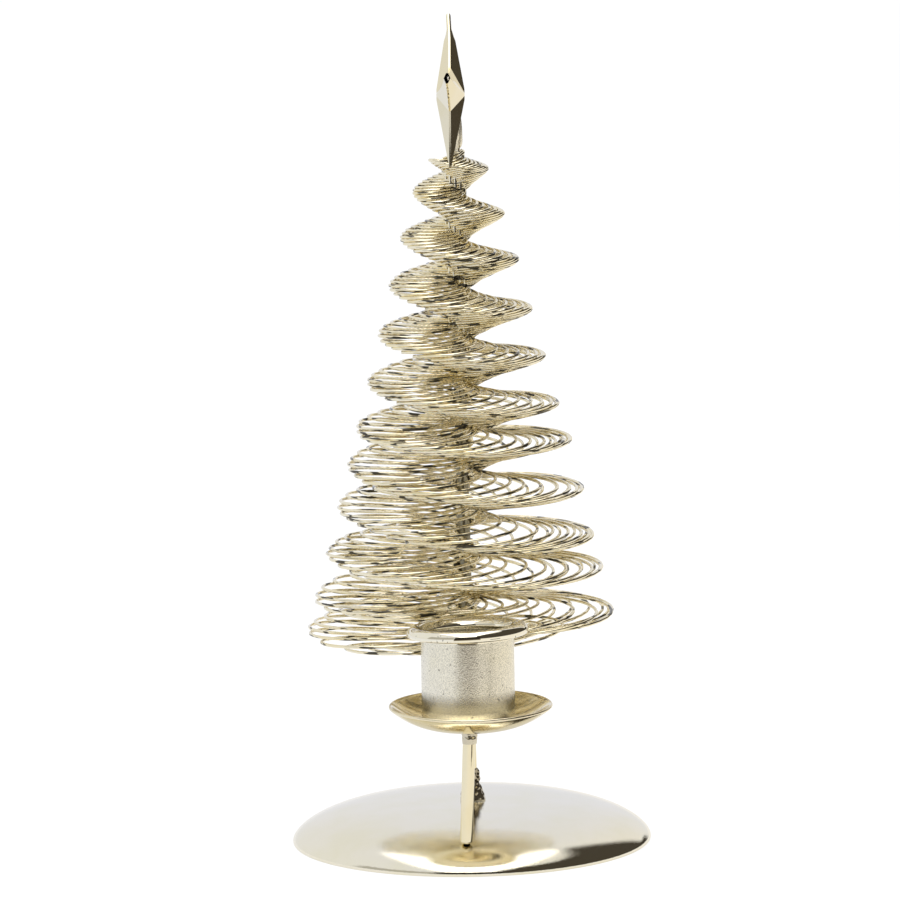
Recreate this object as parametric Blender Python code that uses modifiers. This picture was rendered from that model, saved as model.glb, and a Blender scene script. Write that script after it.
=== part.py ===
"""Christmas tree candle holder.

A domed foot of pressed sheet carries two upright rods. The middle rod holds a
tree wound from one wire, with a hollow star on its tip. The front rod holds a
drip pan with a candle cup in it. Metres, +Z up, and the cup faces -Y.
"""
import math

import bmesh
import bpy
import numpy as np
from mathutils import Vector

PART_NAME = "christmas_tree_candle_holder"

# Gap left between pieces that touch
SEAT_GAP = 0.0003

# Domed foot
BASE_RADIUS = 0.050
BASE_HEIGHT = 0.0115
BASE_WALL = 0.001
BASE_RIM_BAND = 0.001
BASE_FLATNESS = 3.2
BASE_SHOULDER = 1.5
BASE_RINGS = 10
BASE_STEPS = 48

# Middle rod
STEM_RADIUS = 0.00175
STEM_STAR_LAP = 0.0065
ROD_SIDES = 20

# Braze at the foot of the middle rod
FOOT_BRAZE_SPREAD = 0.00215
FOOT_BRAZE_HEIGHT = 0.0085
BRAZE_EDGE = 0.0003

# Front rod, standing on the slope of the dome, with a rounded edge at its lower end
POST_RADIUS = 0.00175
POST_INSET = 0.0087
POST_CORNER = 0.0006

# Braze collar between the front rod and the pan
PAN_BRAZE_THICKNESS = 0.0006
PAN_BRAZE_HEIGHT = 0.0038

# Drip pan
PAN_RADIUS = 0.0226
PAN_BOTTOM = 0.0398
PAN_DEPTH = 0.0061
PAN_WALL = 0.0008
PAN_FLATNESS = 3.2
PAN_RINGS = 9
PAN_STEPS = 40

# Candle cup
CUP_RADIUS = 0.0128
CUP_WALL = 0.0008
CUP_HEIGHT = 0.0276
CUP_CORNER = 0.0014
CUP_LIP_OVERHANG = 0.0040
CUP_LIP_CURL = 0.0016
CUP_LIP_DROOP = math.radians(62)
CUP_ARC_POINTS = 3
CUP_STEPS = 40

# Star: two pressed shells, edge to edge in the YZ plane
STAR_POINTS = 5
STAR_RADIUS = 0.0227
STAR_NOTCH_RADIUS = 0.0103
STAR_THICKNESS = 0.0080
STAR_WALL = 0.0005
STAR_ABOVE_TREE = 0.0078
STAR_BESIDE_ROD = 0.00025
STAR_VENT_RADIUS = 0.00045
STAR_VENT_DEPTH = 0.0040

# Wire tree: loops round the middle rod, whose direction turns as they descend. Each
# loop slopes up from the rod to its tip, and the tree's heights are those of the tips.
WIRE_RADIUS = 0.0004
TREE_TOP = 0.1915
TREE_BOTTOM = 0.0560
TREE_TOP_REACH = 0.0082
TREE_BOTTOM_REACH = 0.0432
TREE_BULGE = 0.0010
TREE_TURNS = 10.9
TREE_TURN_TIGHTENING = 0.06
TREE_START_ANGLE = math.radians(-52)
LOOP_RISE = 0.07
CURLS = 88
CURL_POINTS = 8

# Loops that point at the cup stay behind it, and those beside it clear it
SQUEEZE_ROOM = 0.0060
SQUEEZE_FADE = 0.0050
CUP_TO_WIRE = 0.0026
CUP_LIP_DEPTH = 0.0060

# Places that follow from the sizes
CUP_DIRECTION = math.radians(270)
POST_DISTANCE = BASE_RADIUS - POST_INSET
CUP_LIP_RADIUS = CUP_RADIUS + CUP_LIP_OVERHANG
STAR_HEIGHT = TREE_TOP + STAR_ABOVE_TREE + STAR_NOTCH_RADIUS
STAR_SIDE_SHIFT = -(STEM_RADIUS + STAR_BESIDE_ROD)


def add_material(name, colour, roughness):
    material = bpy.data.materials.new(name)
    material.use_nodes = True
    shader = material.node_tree.nodes["Principled BSDF"]
    shader.inputs["Base Color"].default_value = (*colour, 1.0)
    shader.inputs["Roughness"].default_value = roughness
    shader.inputs["Metallic"].default_value = 1.0
    return material


def add_object(name, data, collection, location=(0.0, 0.0, 0.0)):
    obj = bpy.data.objects.new(name, data)
    obj.location = location
    collection.objects.link(obj)
    return obj


def as_cutter(obj):
    obj.hide_render = True
    obj.display_type = "WIRE"
    return obj


def cut(obj, cutter):
    modifier = obj.modifiers.new("cut", "BOOLEAN")
    modifier.operation = "DIFFERENCE"
    modifier.solver = "EXACT"
    modifier.object = cutter


def turned(name, outline, steps, collection, location=(0.0, 0.0, 0.0), closed=False):
    """A turned solid from an outline of (radius, height) points."""
    count = len(outline)
    edges = [(i, i + 1) for i in range(count - 1)]
    if closed:
        edges.append((count - 1, 0))
    mesh = bpy.data.meshes.new(name)
    mesh.from_pydata([(radius, 0.0, height) for radius, height in outline], edges, [])
    obj = add_object(name, mesh, collection, location)
    screw = obj.modifiers.new("turn", "SCREW")
    screw.axis = "Z"
    screw.angle = math.tau
    screw.steps = steps
    screw.render_steps = steps
    screw.use_merge_vertices = True
    screw.merge_threshold = 0.00001
    screw.use_smooth_shade = True
    return obj


def arc(centre, radius, start, end, count):
    """Points on an arc after its first one, in radius and height."""
    angles = [start + (end - start) * i / count for i in range(1, count + 1)]
    return [(centre[0] + radius * math.cos(a), centre[1] + radius * math.sin(a)) for a in angles]


def sheet_sides(midline, wall):
    """Upper and lower side of a pressed sheet whose middle runs out from the axis."""
    points = np.array(midline)
    along = np.gradient(points, axis=0)
    along[0] = (1.0, 0.0)
    along /= np.linalg.norm(along, axis=1)[:, None]
    normal = np.stack([-along[:, 1], along[:, 0]], axis=1)
    return points + normal * wall / 2, points - normal * wall / 2, along[-1]


def sheet_outline(midline, wall, round_edge):
    """Outline of the sheet: its upper side, its edge and its lower side back to the axis."""
    upper, lower, end_direction = sheet_sides(midline, wall)
    edge = []
    if round_edge:
        edge = [tuple(np.array(midline[-1]) + end_direction * wall / 2)]
    outline = [tuple(p) for p in upper] + edge + [tuple(p) for p in lower[::-1]]
    return [(max(radius, 0.0), height) for radius, height in outline]


def base_midline():
    """Middle of the dome's sheet: flat on top, falling over a shoulder to an upright rim."""
    rim = BASE_RADIUS - BASE_WALL / 2
    rise = BASE_HEIGHT - BASE_WALL / 2 - BASE_RIM_BAND
    points = []
    for i in range(BASE_RINGS + 1):
        angle = math.pi / 2 * i / BASE_RINGS
        radius = rim * math.sin(angle) ** (2 / BASE_FLATNESS)
        height = rise * max(math.cos(angle), 0.0) ** (2 / BASE_SHOULDER)
        points.append((radius, BASE_RIM_BAND + height))
    points[-1] = (rim, BASE_RIM_BAND)
    points.append((rim, 0.0))
    return points


def make_base(collection):
    outline = sheet_outline(base_midline(), BASE_WALL, round_edge=False)
    last = len(base_midline()) - 1
    outline[last] = (BASE_RADIUS, 0.0)
    outline[last + 1] = (BASE_RADIUS - BASE_WALL, 0.0)
    return turned("base_dome", outline, BASE_STEPS, collection)


def height_on_dome(distance, radius, corner):
    """Height of a rod's lower end, with a rounded edge, that clears the dome by the seat gap."""
    upper, _, _ = sheet_sides(base_midline(), BASE_WALL)
    offsets = np.linspace(-radius, radius, 81)
    heights = np.interp(distance + offsets, upper[:, 0], upper[:, 1])
    past_flat = np.maximum(np.abs(offsets) - (radius - corner), 0.0)
    room = np.sqrt((corner + SEAT_GAP) ** 2 - past_flat ** 2)
    return float(np.max(heights + room)) - corner


def make_stem(collection, cutters):
    """Straight rod, coped at its tip to lie against the star's right shell."""
    foot = BASE_HEIGHT + SEAT_GAP
    tip = STAR_HEIGHT - STAR_NOTCH_RADIUS + STEM_STAR_LAP
    mesh = bpy.data.meshes.new("tree_stem")
    rod = bmesh.new()
    bmesh.ops.create_cone(rod, cap_ends=True, segments=ROD_SIDES, radius1=STEM_RADIUS,
                          radius2=STEM_RADIUS, depth=tip - foot)
    rod.to_mesh(mesh)
    rod.free()
    mesh.shade_smooth()
    mesh.set_sharp_from_angle(angle=math.radians(40))
    obj = add_object("tree_stem", mesh, collection, (0.0, 0.0, (tip + foot) / 2))
    shift = SEAT_GAP / star_facet_cosine()
    space = star_pyramid("star_clearance", STAR_THICKNESS / 2 + shift, cutters)
    place_star_piece(space, side=1, offset=0.0)
    cut(obj, as_cutter(space))
    return obj


def make_foot_braze(collection):
    """Fillet of braze that spreads from the middle rod on to the dome."""
    inner = STEM_RADIUS + SEAT_GAP
    spread = FOOT_BRAZE_SPREAD - BRAZE_EDGE
    bottom = BASE_HEIGHT + SEAT_GAP
    outline = []
    for share in (1.0, 0.7, 0.4, 0.2, 0.0):
        outline.append((inner + BRAZE_EDGE + spread * (1 - share) ** 2.2,
                        bottom + BRAZE_EDGE + (FOOT_BRAZE_HEIGHT - BRAZE_EDGE) * share))
    outline.append((inner + FOOT_BRAZE_SPREAD, bottom))
    outline.append((inner, bottom))
    outline.append((inner, bottom + FOOT_BRAZE_HEIGHT))
    return turned("stem_foot_braze", outline, ROD_SIDES, collection, closed=True)


def make_post(collection):
    """Front rod, its lower end square with a rounded edge."""
    bottom = height_on_dome(POST_DISTANCE, POST_RADIUS, POST_CORNER)
    top = PAN_BOTTOM - SEAT_GAP
    corner = (POST_RADIUS - POST_CORNER, bottom + POST_CORNER)
    outline = [(0.0, top), (POST_RADIUS, top), (POST_RADIUS, corner[1])]
    outline += arc(corner, POST_CORNER, 0.0, -math.pi / 2, 3)
    outline.append((0.0, bottom))
    return turned("cup_post", outline, ROD_SIDES, collection, (0.0, -POST_DISTANCE, 0.0))


def make_pan_braze(collection):
    """Collar of braze round the top of the front rod, under the pan."""
    inner = POST_RADIUS + SEAT_GAP
    top = PAN_BOTTOM - SEAT_GAP
    outline = []
    for share, swell in ((0.0, 0.8), (0.25, 1.0), (0.5, 0.85), (0.8, 0.5), (1.0, 0.4)):
        outline.append((inner + PAN_BRAZE_THICKNESS * swell, top - PAN_BRAZE_HEIGHT * share))
    outline.append((inner, top - PAN_BRAZE_HEIGHT))
    outline.append((inner, top))
    return turned("pan_braze", outline, ROD_SIDES, collection, (0.0, -POST_DISTANCE, 0.0),
                  closed=True)


def pan_outline():
    """Shallow bowl: a nearly flat floor that turns up to a thin rim."""
    middle = PAN_BOTTOM + PAN_WALL / 2
    midline = []
    for i in range(PAN_RINGS + 1):
        share = (i / PAN_RINGS) ** 0.8
        radius = (PAN_RADIUS - PAN_WALL / 2) * share
        midline.append((radius, middle + PAN_DEPTH * share ** PAN_FLATNESS))
    return sheet_outline(midline, PAN_WALL, round_edge=True)


def make_pan(collection):
    return turned("drip_pan", pan_outline(), PAN_STEPS, collection, (0.0, -POST_DISTANCE, 0.0))


def pan_floor_height(radius):
    """Height of the pan's upper side at a radius from its centre."""
    share = radius / (PAN_RADIUS - PAN_WALL / 2)
    return PAN_BOTTOM + PAN_WALL + PAN_DEPTH * share ** PAN_FLATNESS


def cup_bottom_height():
    return pan_floor_height(CUP_RADIUS - CUP_CORNER) + SEAT_GAP


def make_cup(collection):
    """Drawn cup whose mouth rolls over into a drooping lip."""
    bottom = cup_bottom_height()
    wall_radius = CUP_RADIUS - CUP_WALL / 2
    floor = bottom + CUP_WALL / 2
    crest = bottom + CUP_HEIGHT - CUP_WALL / 2
    crest_radius = wall_radius + CUP_LIP_CURL
    droop_radius = (CUP_LIP_RADIUS - CUP_WALL / 2 - crest_radius) / math.sin(CUP_LIP_DROOP)
    midline = [(0.0, floor), (wall_radius - CUP_CORNER, floor)]
    midline += arc((wall_radius - CUP_CORNER, floor + CUP_CORNER), CUP_CORNER,
                   -math.pi / 2, 0.0, CUP_ARC_POINTS)
    midline.append((wall_radius, crest - CUP_LIP_CURL))
    midline += arc((crest_radius, crest - CUP_LIP_CURL), CUP_LIP_CURL, math.pi, math.pi / 2,
                   CUP_ARC_POINTS)
    midline += arc((crest_radius, crest - droop_radius), droop_radius, math.pi / 2,
                   math.pi / 2 - CUP_LIP_DROOP, CUP_ARC_POINTS)
    outline = sheet_outline(midline, CUP_WALL, round_edge=True)
    return turned("candle_cup", outline, CUP_STEPS, collection, (0.0, -POST_DISTANCE, 0.0))


def star_facet_cosine():
    """Cosine of the angle between a facet's normal and the star's axis."""
    notch_angle = math.pi / STAR_POINTS
    tip = Vector((STAR_RADIUS, 0.0, 0.0))
    notch = Vector((math.cos(notch_angle), math.sin(notch_angle), 0.0)) * STAR_NOTCH_RADIUS
    apex = Vector((0.0, 0.0, STAR_THICKNESS / 2))
    return (notch - tip).cross(apex - tip).normalized().z


def star_pyramid(name, height, collection):
    """Pyramid on a star outline with one point up, its facets sloped as the star's are."""
    size = height / (STAR_THICKNESS / 2)
    mesh = bpy.data.meshes.new(name)
    cone = bmesh.new()
    bmesh.ops.create_cone(cone, cap_ends=True, segments=2 * STAR_POINTS, radius1=1.0,
                          radius2=0.0, depth=1.0)
    bmesh.ops.remove_doubles(cone, verts=cone.verts, dist=0.001)
    for vert in cone.verts:
        if vert.co.z > 0.0:
            vert.co = (0.0, 0.0, height)
            continue
        angle = math.atan2(vert.co.x, vert.co.y)
        step = round(angle / (math.pi / STAR_POINTS))
        radius = (STAR_NOTCH_RADIUS if step % 2 else STAR_RADIUS) * size
        turn = step * math.pi / STAR_POINTS
        vert.co = (radius * math.sin(turn), radius * math.cos(turn), 0.0)
    cone.to_mesh(mesh)
    cone.free()
    return add_object(name, mesh, collection)


def place_star_piece(obj, side, offset):
    """Stand a star pyramid in the YZ plane, with its apex to +X or -X."""
    obj.location = (STAR_SIDE_SHIFT + side * offset, 0.0, STAR_HEIGHT)
    obj.rotation_euler = (math.pi / 2, 0.0, side * math.pi / 2)


def make_vent(cutters):
    """Small hole that runs into the star from the tip of its front point."""
    angle = math.pi / 2 - math.tau / STAR_POINTS
    direction = Vector((0.0, -math.cos(angle), math.sin(angle)))
    middle = STAR_RADIUS - STAR_VENT_DEPTH / 2
    mesh = bpy.data.meshes.new("star_vent")
    hole = bmesh.new()
    bmesh.ops.create_cone(hole, cap_ends=True, segments=12, radius1=STAR_VENT_RADIUS,
                          radius2=STAR_VENT_RADIUS, depth=STAR_VENT_DEPTH * 1.2)
    hole.to_mesh(mesh)
    hole.free()
    obj = add_object("star_vent", mesh, cutters)
    obj.location = Vector((STAR_SIDE_SHIFT, 0.0, STAR_HEIGHT)) + direction * middle
    obj.rotation_euler = direction.to_track_quat("Z", "Y").to_euler()
    return as_cutter(obj)


def make_star_shell(name, side, vent, collection, cutters):
    """One pressed half of the star, open towards the other half."""
    shell = star_pyramid(name, STAR_THICKNESS / 2, collection)
    place_star_piece(shell, side, SEAT_GAP / 2)
    hollow = star_pyramid(name + "_hollow", STAR_THICKNESS / 2, cutters)
    place_star_piece(hollow, side, SEAT_GAP / 2 - STAR_WALL / star_facet_cosine())
    cut(shell, as_cutter(hollow))
    cut(shell, vent)
    return shell


def reach_at(height):
    """How far the loops reach from the rod at a height."""
    share = (height - TREE_BOTTOM) / (TREE_TOP - TREE_BOTTOM)
    straight = TREE_BOTTOM_REACH + (TREE_TOP_REACH - TREE_BOTTOM_REACH) * share
    return straight + TREE_BULGE * 4 * share * (1 - share)


def squeezed_reach(height, direction):
    """The reach of a loop, shortened where it would run into the cup."""
    above_cup = height - (cup_bottom_height() + CUP_HEIGHT + 3 * WIRE_RADIUS)
    low = min(max(1 - above_cup / SQUEEZE_FADE, 0.0), 1.0)
    facing = max(math.cos(direction - CUP_DIRECTION), 0.0) ** 3
    full = reach_at(height)
    behind_cup = POST_DISTANCE - CUP_LIP_RADIUS - SQUEEZE_ROOM
    return full - max(full - behind_cup, 0.0) * low * facing


def clear_of_cup(point):
    """Move a wire point out of the room that the cup needs."""
    lip_height = cup_bottom_height() + CUP_HEIGHT - CUP_LIP_DEPTH
    over_cup = cup_bottom_height() + CUP_HEIGHT + 3 * WIRE_RADIUS
    if point.z > over_cup:
        return point
    needed = CUP_TO_WIRE + (CUP_LIP_RADIUS if point.z > lip_height else CUP_RADIUS)
    away = Vector((point.x, point.y + POST_DISTANCE, 0.0))
    if away.length < needed:
        point = point + away.normalized() * (needed - away.length)
    return point


def tree_points():
    """Centre line of the wire, from its upper end on the rod to its lower end on the rod."""
    inner = (STEM_RADIUS + WIRE_RADIUS + SEAT_GAP) / math.cos(math.pi / CURL_POINTS)
    points = []
    for i in range(1, CURLS * CURL_POINTS):
        share = i / (CURLS * CURL_POINTS)
        height = TREE_TOP + (TREE_BOTTOM - TREE_TOP) * share
        turned_share = share + TREE_TURN_TIGHTENING * (share ** 2 - share)
        direction = TREE_START_ANGLE + math.tau * TREE_TURNS * turned_share
        reach = squeezed_reach(height, direction) - WIRE_RADIUS
        round_loop = math.pi - math.tau * i / CURL_POINTS
        out = (reach - inner) / 2 + (reach + inner) / 2 * math.cos(round_loop)
        across = (reach_at(height) + inner) / 2 * math.sin(round_loop)
        below_tip = LOOP_RISE * (reach_at(height) - math.hypot(out, across))
        point = Vector((out * math.cos(direction) - across * math.sin(direction),
                        out * math.sin(direction) + across * math.cos(direction),
                        height - below_tip))
        points.append(clear_of_cup(point))
    return [end_on_rod(points[0])] + points + [end_on_rod(points[-1])]


def end_on_rod(point):
    """End of the wire, square to the rod, on a straight run from the given point."""
    outward = Vector((point.x, point.y, 0.0)).normalized()
    return outward * (STEM_RADIUS + SEAT_GAP) + Vector((0.0, 0.0, point.z))


def least_wire_gap(points):
    """Least gap between stretches of the wire that don't follow each other."""
    start = np.array([tuple(p) for p in points[:-1]])
    run = np.array([tuple(p) for p in points[1:]]) - start
    first, second = np.triu_indices(len(start), k=3)
    near = np.abs(start[first, 2] - start[second, 2]) < 12 * WIRE_RADIUS
    first, second = first[near], second[near]
    d1, d2, between = run[first], run[second], start[first] - start[second]
    a, e, b = (d1 * d1).sum(1), (d2 * d2).sum(1), (d1 * d2).sum(1)
    c, f = (d1 * between).sum(1), (d2 * between).sum(1)
    s = np.clip((b * f - c * e) / np.maximum(a * e - b * b, 1e-18), 0, 1)
    t = np.clip((b * s + f) / e, 0, 1)
    s = np.clip((b * t - c) / a, 0, 1)
    apart = np.linalg.norm(between + d1 * s[:, None] - d2 * t[:, None], axis=1)
    return float(apart.min() - 2 * WIRE_RADIUS)


def make_tree(collection):
    """The tree's loops as one unbroken wire."""
    points = tree_points()
    print("least gap of the tree's wire to itself: %.2f mm" % (least_wire_gap(points) * 1000))
    curve = bpy.data.curves.new("wire_tree", "CURVE")
    curve.dimensions = "3D"
    curve.bevel_depth = WIRE_RADIUS
    curve.bevel_resolution = 1
    curve.use_fill_caps = True
    spline = curve.splines.new("POLY")
    spline.points.add(len(points) - 1)
    for target, point in zip(spline.points, points):
        target.co = (*point, 1.0)
    return add_object("wire_tree", curve, collection)


def centre_over_origin(objects):
    """Parent everything to an empty that puts the footprint's middle at the origin."""
    front = POST_DISTANCE + max(radius for radius, height in pan_outline())
    place = bpy.data.objects.new("place", None)
    bpy.context.scene.collection.objects.link(place)
    place.location = (0.0, (front - BASE_RADIUS) / 2, 0.0)
    for obj in objects:
        obj.parent = place


def main():
    for obj in list(bpy.data.objects):
        bpy.data.objects.remove(obj, do_unlink=True)
    parts = bpy.data.collections.new(PART_NAME)
    cutters = bpy.data.collections.new("cutters")
    bpy.context.scene.collection.children.link(parts)
    bpy.context.scene.collection.children.link(cutters)

    pieces = [
        (make_base(parts), (0.80, 0.77, 0.70), 0.30),
        (make_stem(parts, cutters), (0.82, 0.74, 0.55), 0.15),
        (make_foot_braze(parts), (0.62, 0.57, 0.45), 0.35),
        (make_post(parts), (0.84, 0.76, 0.56), 0.12),
        (make_pan_braze(parts), (0.70, 0.64, 0.50), 0.35),
        (make_pan(parts), (0.83, 0.75, 0.54), 0.12),
        (make_cup(parts), (0.80, 0.77, 0.70), 0.30),
        (make_tree(parts), (0.82, 0.75, 0.56), 0.18),
    ]
    vent = make_vent(cutters)
    for name, side in (("star_left_shell", -1), ("star_right_shell", 1)):
        shell = make_star_shell(name, side, vent, parts, cutters)
        pieces.append((shell, (0.83, 0.76, 0.60), 0.10))

    for obj, colour, roughness in pieces:
        obj.data.materials.append(add_material(obj.name, colour, roughness))
    centre_over_origin([*parts.objects, *cutters.objects])


main()
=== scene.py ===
"""Looks of the Christmas tree candle holder: fine meshes, plated finishes, studio and camera."""
import math

import bmesh
import bpy
import numpy as np
from mathutils import Matrix, Vector, noise


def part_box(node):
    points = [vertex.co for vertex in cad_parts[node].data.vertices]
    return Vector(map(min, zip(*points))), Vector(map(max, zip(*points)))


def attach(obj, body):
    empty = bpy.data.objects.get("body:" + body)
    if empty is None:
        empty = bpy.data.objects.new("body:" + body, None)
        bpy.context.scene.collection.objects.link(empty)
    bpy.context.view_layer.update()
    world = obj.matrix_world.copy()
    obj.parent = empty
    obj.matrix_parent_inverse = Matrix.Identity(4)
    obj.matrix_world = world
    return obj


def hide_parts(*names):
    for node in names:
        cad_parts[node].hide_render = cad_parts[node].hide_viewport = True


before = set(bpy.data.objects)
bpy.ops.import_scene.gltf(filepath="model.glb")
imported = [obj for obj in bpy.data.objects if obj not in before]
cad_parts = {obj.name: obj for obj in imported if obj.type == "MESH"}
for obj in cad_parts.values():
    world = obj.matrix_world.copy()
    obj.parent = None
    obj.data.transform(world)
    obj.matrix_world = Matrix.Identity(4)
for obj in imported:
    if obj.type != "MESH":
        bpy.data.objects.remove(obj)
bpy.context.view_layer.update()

MM = 0.001
ROUND = 2 * math.pi
QUARTER = math.pi / 2
# Gap that the CAD leaves where two pieces are brazed together
SEAT_GAP = 0.3 * MM


def middle(node):
    """Middle of a node's box."""
    low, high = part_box(node)
    return (low + high) / 2


def width(node):
    low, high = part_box(node)
    return high.x - low.x


# Places and main sizes, from the frame
AXIS = middle("base_dome")
AXIS.z = 0.0
BASE_RADIUS = width("base_dome") / 2
BASE_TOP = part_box("base_dome")[1].z
CUP_AXIS = middle("candle_cup")
CUP_AXIS.z = 0.0
ROD_RADIUS = width("tree_stem") / 2
STEM_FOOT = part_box("tree_stem")[0].z
FOOT_BRAZE_LOW, FOOT_BRAZE_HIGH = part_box("stem_foot_braze")
FOOT_BRAZE_RADIUS = width("stem_foot_braze") / 2
PAN_BRAZE_LOW, PAN_BRAZE_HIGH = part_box("pan_braze")
PAN_BRAZE_RADIUS = width("pan_braze") / 2
PAN_LOW, PAN_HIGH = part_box("drip_pan")
PAN_RADIUS = width("drip_pan") / 2
CUP_LOW, CUP_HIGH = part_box("candle_cup")
CUP_LIP_RADIUS = width("candle_cup") / 2
POST_LOW, POST_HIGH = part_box("cup_post")
STAR_SEAM_X = (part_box("star_left_shell")[1].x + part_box("star_right_shell")[0].x) / 2
STAR_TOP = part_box("star_left_shell")[1].z

# Turned pieces
SHEET_STEPS = 160
ROD_STEPS = 64
STEM_STEPS = 48
SHARP_TURNED = math.radians(50)
SHEET_EDGE_POINTS = 5

# Foot: its profile is a superellipse, with one exponent for its reach and one for its height
BASE_WALL = 1.0 * MM
BASE_RIM_BAND = 0.75 * MM
BASE_REACH_POWER = 3.2
BASE_HEIGHT_POWER = 1.5
BASE_RINGS = 60
BASE_RING_SPACING = 0.9

# Pan: the power is that of its rise towards the rim
PAN_WALL = 0.8 * MM
PAN_RISE_POWER = 3.2
PAN_RINGS = 28
PAN_RING_SPACING = 0.8

# Cup
CUP_WALL = 0.8 * MM
CUP_RADIUS = 12.8 * MM
CUP_CORNER = 1.4 * MM
CUP_LIP_CURL = 2.1 * MM
CUP_LIP_DROP = 1.7 * MM
CUP_LIP_HEM = 0.35 * MM
CUP_HEM_TURN = 1.2
CUP_CREST_ROOM = 0.3 * MM
CUP_CORNER_POINTS = 8
CUP_WALL_POINTS = 12
CUP_CURL_POINTS = 12
CUP_LIP_POINTS = 18
CUP_HEM_POINTS = 5
CUP_EDGE_POINTS = 7
# The lip is a little higher on its right and at the front. The slopes grow over a length of the wall
CUP_LIP_SLOPES = (0.035, -0.05)
CUP_SLOPE_START = CUP_HIGH.z - 8 * MM
CUP_SLOPE_LENGTH = 6 * MM
CUP_SHIFT = -0.6 * MM

# Rods: both lean to the left, by these slopes
ROD_EDGE = 0.25 * MM
ROD_BAND = 0.1 * MM
POST_CORNER = 0.6 * MM
POST_LEAN = 0.042
POST_SHIFT = -0.45 * MM
TREE_LEAN = 0.011

# Star
STAR_POINTS = 5
STAR_RADIUS = 22.7 * MM
STAR_NOTCH_RADIUS = 10.3 * MM
STAR_HALF_THICKNESS = 4.0 * MM
STAR_SEAM = 0.28 * MM
STAR_SEAM_GAP = 0.02 * MM
STAR_SHEET = 0.35 * MM
# Pressed flat in the middle. The facets reach their full height just before it
STAR_FLAT_RADIUS = 1.5 * MM
STAR_FLAT_DROP = 0.25 * MM
STAR_FACET_SLOPE = 1.04
# Rows of a facet, as shares of the way from the seam to the middle
STAR_FACET_SHARES = [0.0, 0.012, 0.03, 0.07, 0.13, 0.22, 0.34, 0.48, 0.62, 0.75, 0.86, 0.93, 0.965, 1.0]
STAR_FACET_ROWS = len(STAR_FACET_SHARES) - 1
STAR_FOLD_WIDTH = 0.13 * MM
STAR_FOLD_ANGLE = math.radians(20)
STAR_SHARP = math.radians(10)
STAR_YAW = math.radians(2.0)
STAR_SHIFT = -0.58 * MM
# The top tip is pressed into a thin blade, which runs into the facets below it
STAR_TIP_LENGTH = 6.0 * MM
STAR_TIP_HALF = 0.62 * MM
STAR_TIP_EDGE = 0.35
STAR_TIP_ROUNDING = 0.03
STAR_TIP_RUN = 1.2 * MM
STAR_TIP_BEND = 0.25 * MM
STAR_TIP_BEND_START = 7.2 * MM
# The front tip is the star's corner 2. It is bent to the left and up, and its end is open
STAR_FRONT_BEND = (-0.9 * MM, 2.8 * MM)
STAR_FRONT_LOWEST = -0.5 * STAR_NOTCH_RADIUS
STAR_EYE_CUT = 3.8 * MM
STAR_FRONT_STEP = 2
STEM_TOP = STAR_TOP - STAR_RADIUS - 3.4 * MM

# Braze
BEAD_INNER = ROD_RADIUS + 0.1 * MM
BEAD_THIN = 0.25 * MM
FOOT_BRAZE_ROWS = 24
FOOT_BRAZE_HOLLOW = 2.2
FOOT_BRAZE_PRESSED = 0.4
PAN_BRAZE_ROWS = 18
PAN_BRAZE_THICKNESS = 0.42
PAN_BRAZE_NECK = 0.45
# Vertices nearer to the rod than this stay where they are
LUMPS_FROM = ROD_RADIUS + 0.35 * MM

# Wire tree
WIRE_RADIUS = 0.45 * MM
LOOPS_PER_TURN = 24.8
LOOP_POINTS = 52
# How much closer than even the points of a loop lie at the rod, from 0 to 1
LOOP_CROWDING = 0.8
FIRST_TURN = -0.42
LAST_TURN = 10.88
TREE_TOP = 189.4 * MM
# Drop in each turn: before turn 0, down to the knee and below it
FIRST_DROP = 7.0 * MM
UPPER_DROP = 13.2 * MM
LOWER_DROP = 11.3 * MM
KNEE_TURN = 5.5
LOOP_INNER = ROD_RADIUS + WIRE_RADIUS + 0.1 * MM
# Every other loop passes the rod a little further out
LOOP_STAGGER = 0.5 * MM
# Room over which a loop narrows towards the rod
LOOP_PINCH = 6 * MM
# Each loop passes the rod on a steep slant: half its drop there, and half its length
WRAP_DROP = 3.6 * MM
WRAP_LENGTH = 1.5 * MM
# How far the loops' tips reach from the rod, as (height, reach) in mm
REACHES = [(56, 43.9), (64.5, 42.5), (99, 33.6), (137, 23.6), (163.6, 16.8), (176.5, 13.2), (188.8, 9.4),
           (192.5, 7.4)]
# Loops bent up or down from the even spiral, as (turn, mm)
BENDS = [(0.0, 0.0), (1.0, 0.4), (2.0, 0.9), (3.0, 0.0), (5.5, 0.0), (6.0, 2.0), (6.5, 1.0), (7.0, -0.8),
         (7.5, 1.1), (8.0, -2.2), (8.5, -0.3), (9.0, 0.0), (9.5, -2.2), (10.0, -1.4), (10.5, 0.3),
         (10.62, -1.0), (10.72, 0.0), (10.85, 4.5)]
# The loops are looser further down: their least looseness, and the turn from which it is 1
LEAST_LOOSE = 0.1
LOOSE_TURN = 9
LOOSE_SWING = 0.10
LOOSE_STRETCH = 0.03
LOOSE_NOD = 0.9 * MM
# Each loop is tipped sideways, so that it passes clear of the next one
LOOP_TILT = 0.055
# Slope of a loop from the rod up to its tip, and the share of it that the loosest loops lose
LOOP_RISE_LEFT = 0.13
LOOP_RISE_RIGHT = 0.07
LOOP_RISE_LOST = 0.6
# The lowest loops sit a little to the left, more and more so below a height
LOW_SHIFT = 1.1 * MM
LOW_SHIFT_TOP = 105 * MM
LOW_SHIFT_RUN = 40 * MM
# Room that the wire leaves round the cup and above it
CUP_ROOM = 2.2 * MM
CUP_ROOM_ABOVE = 1.4 * MM
CUP_LIP_DEPTH = 6 * MM
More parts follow.
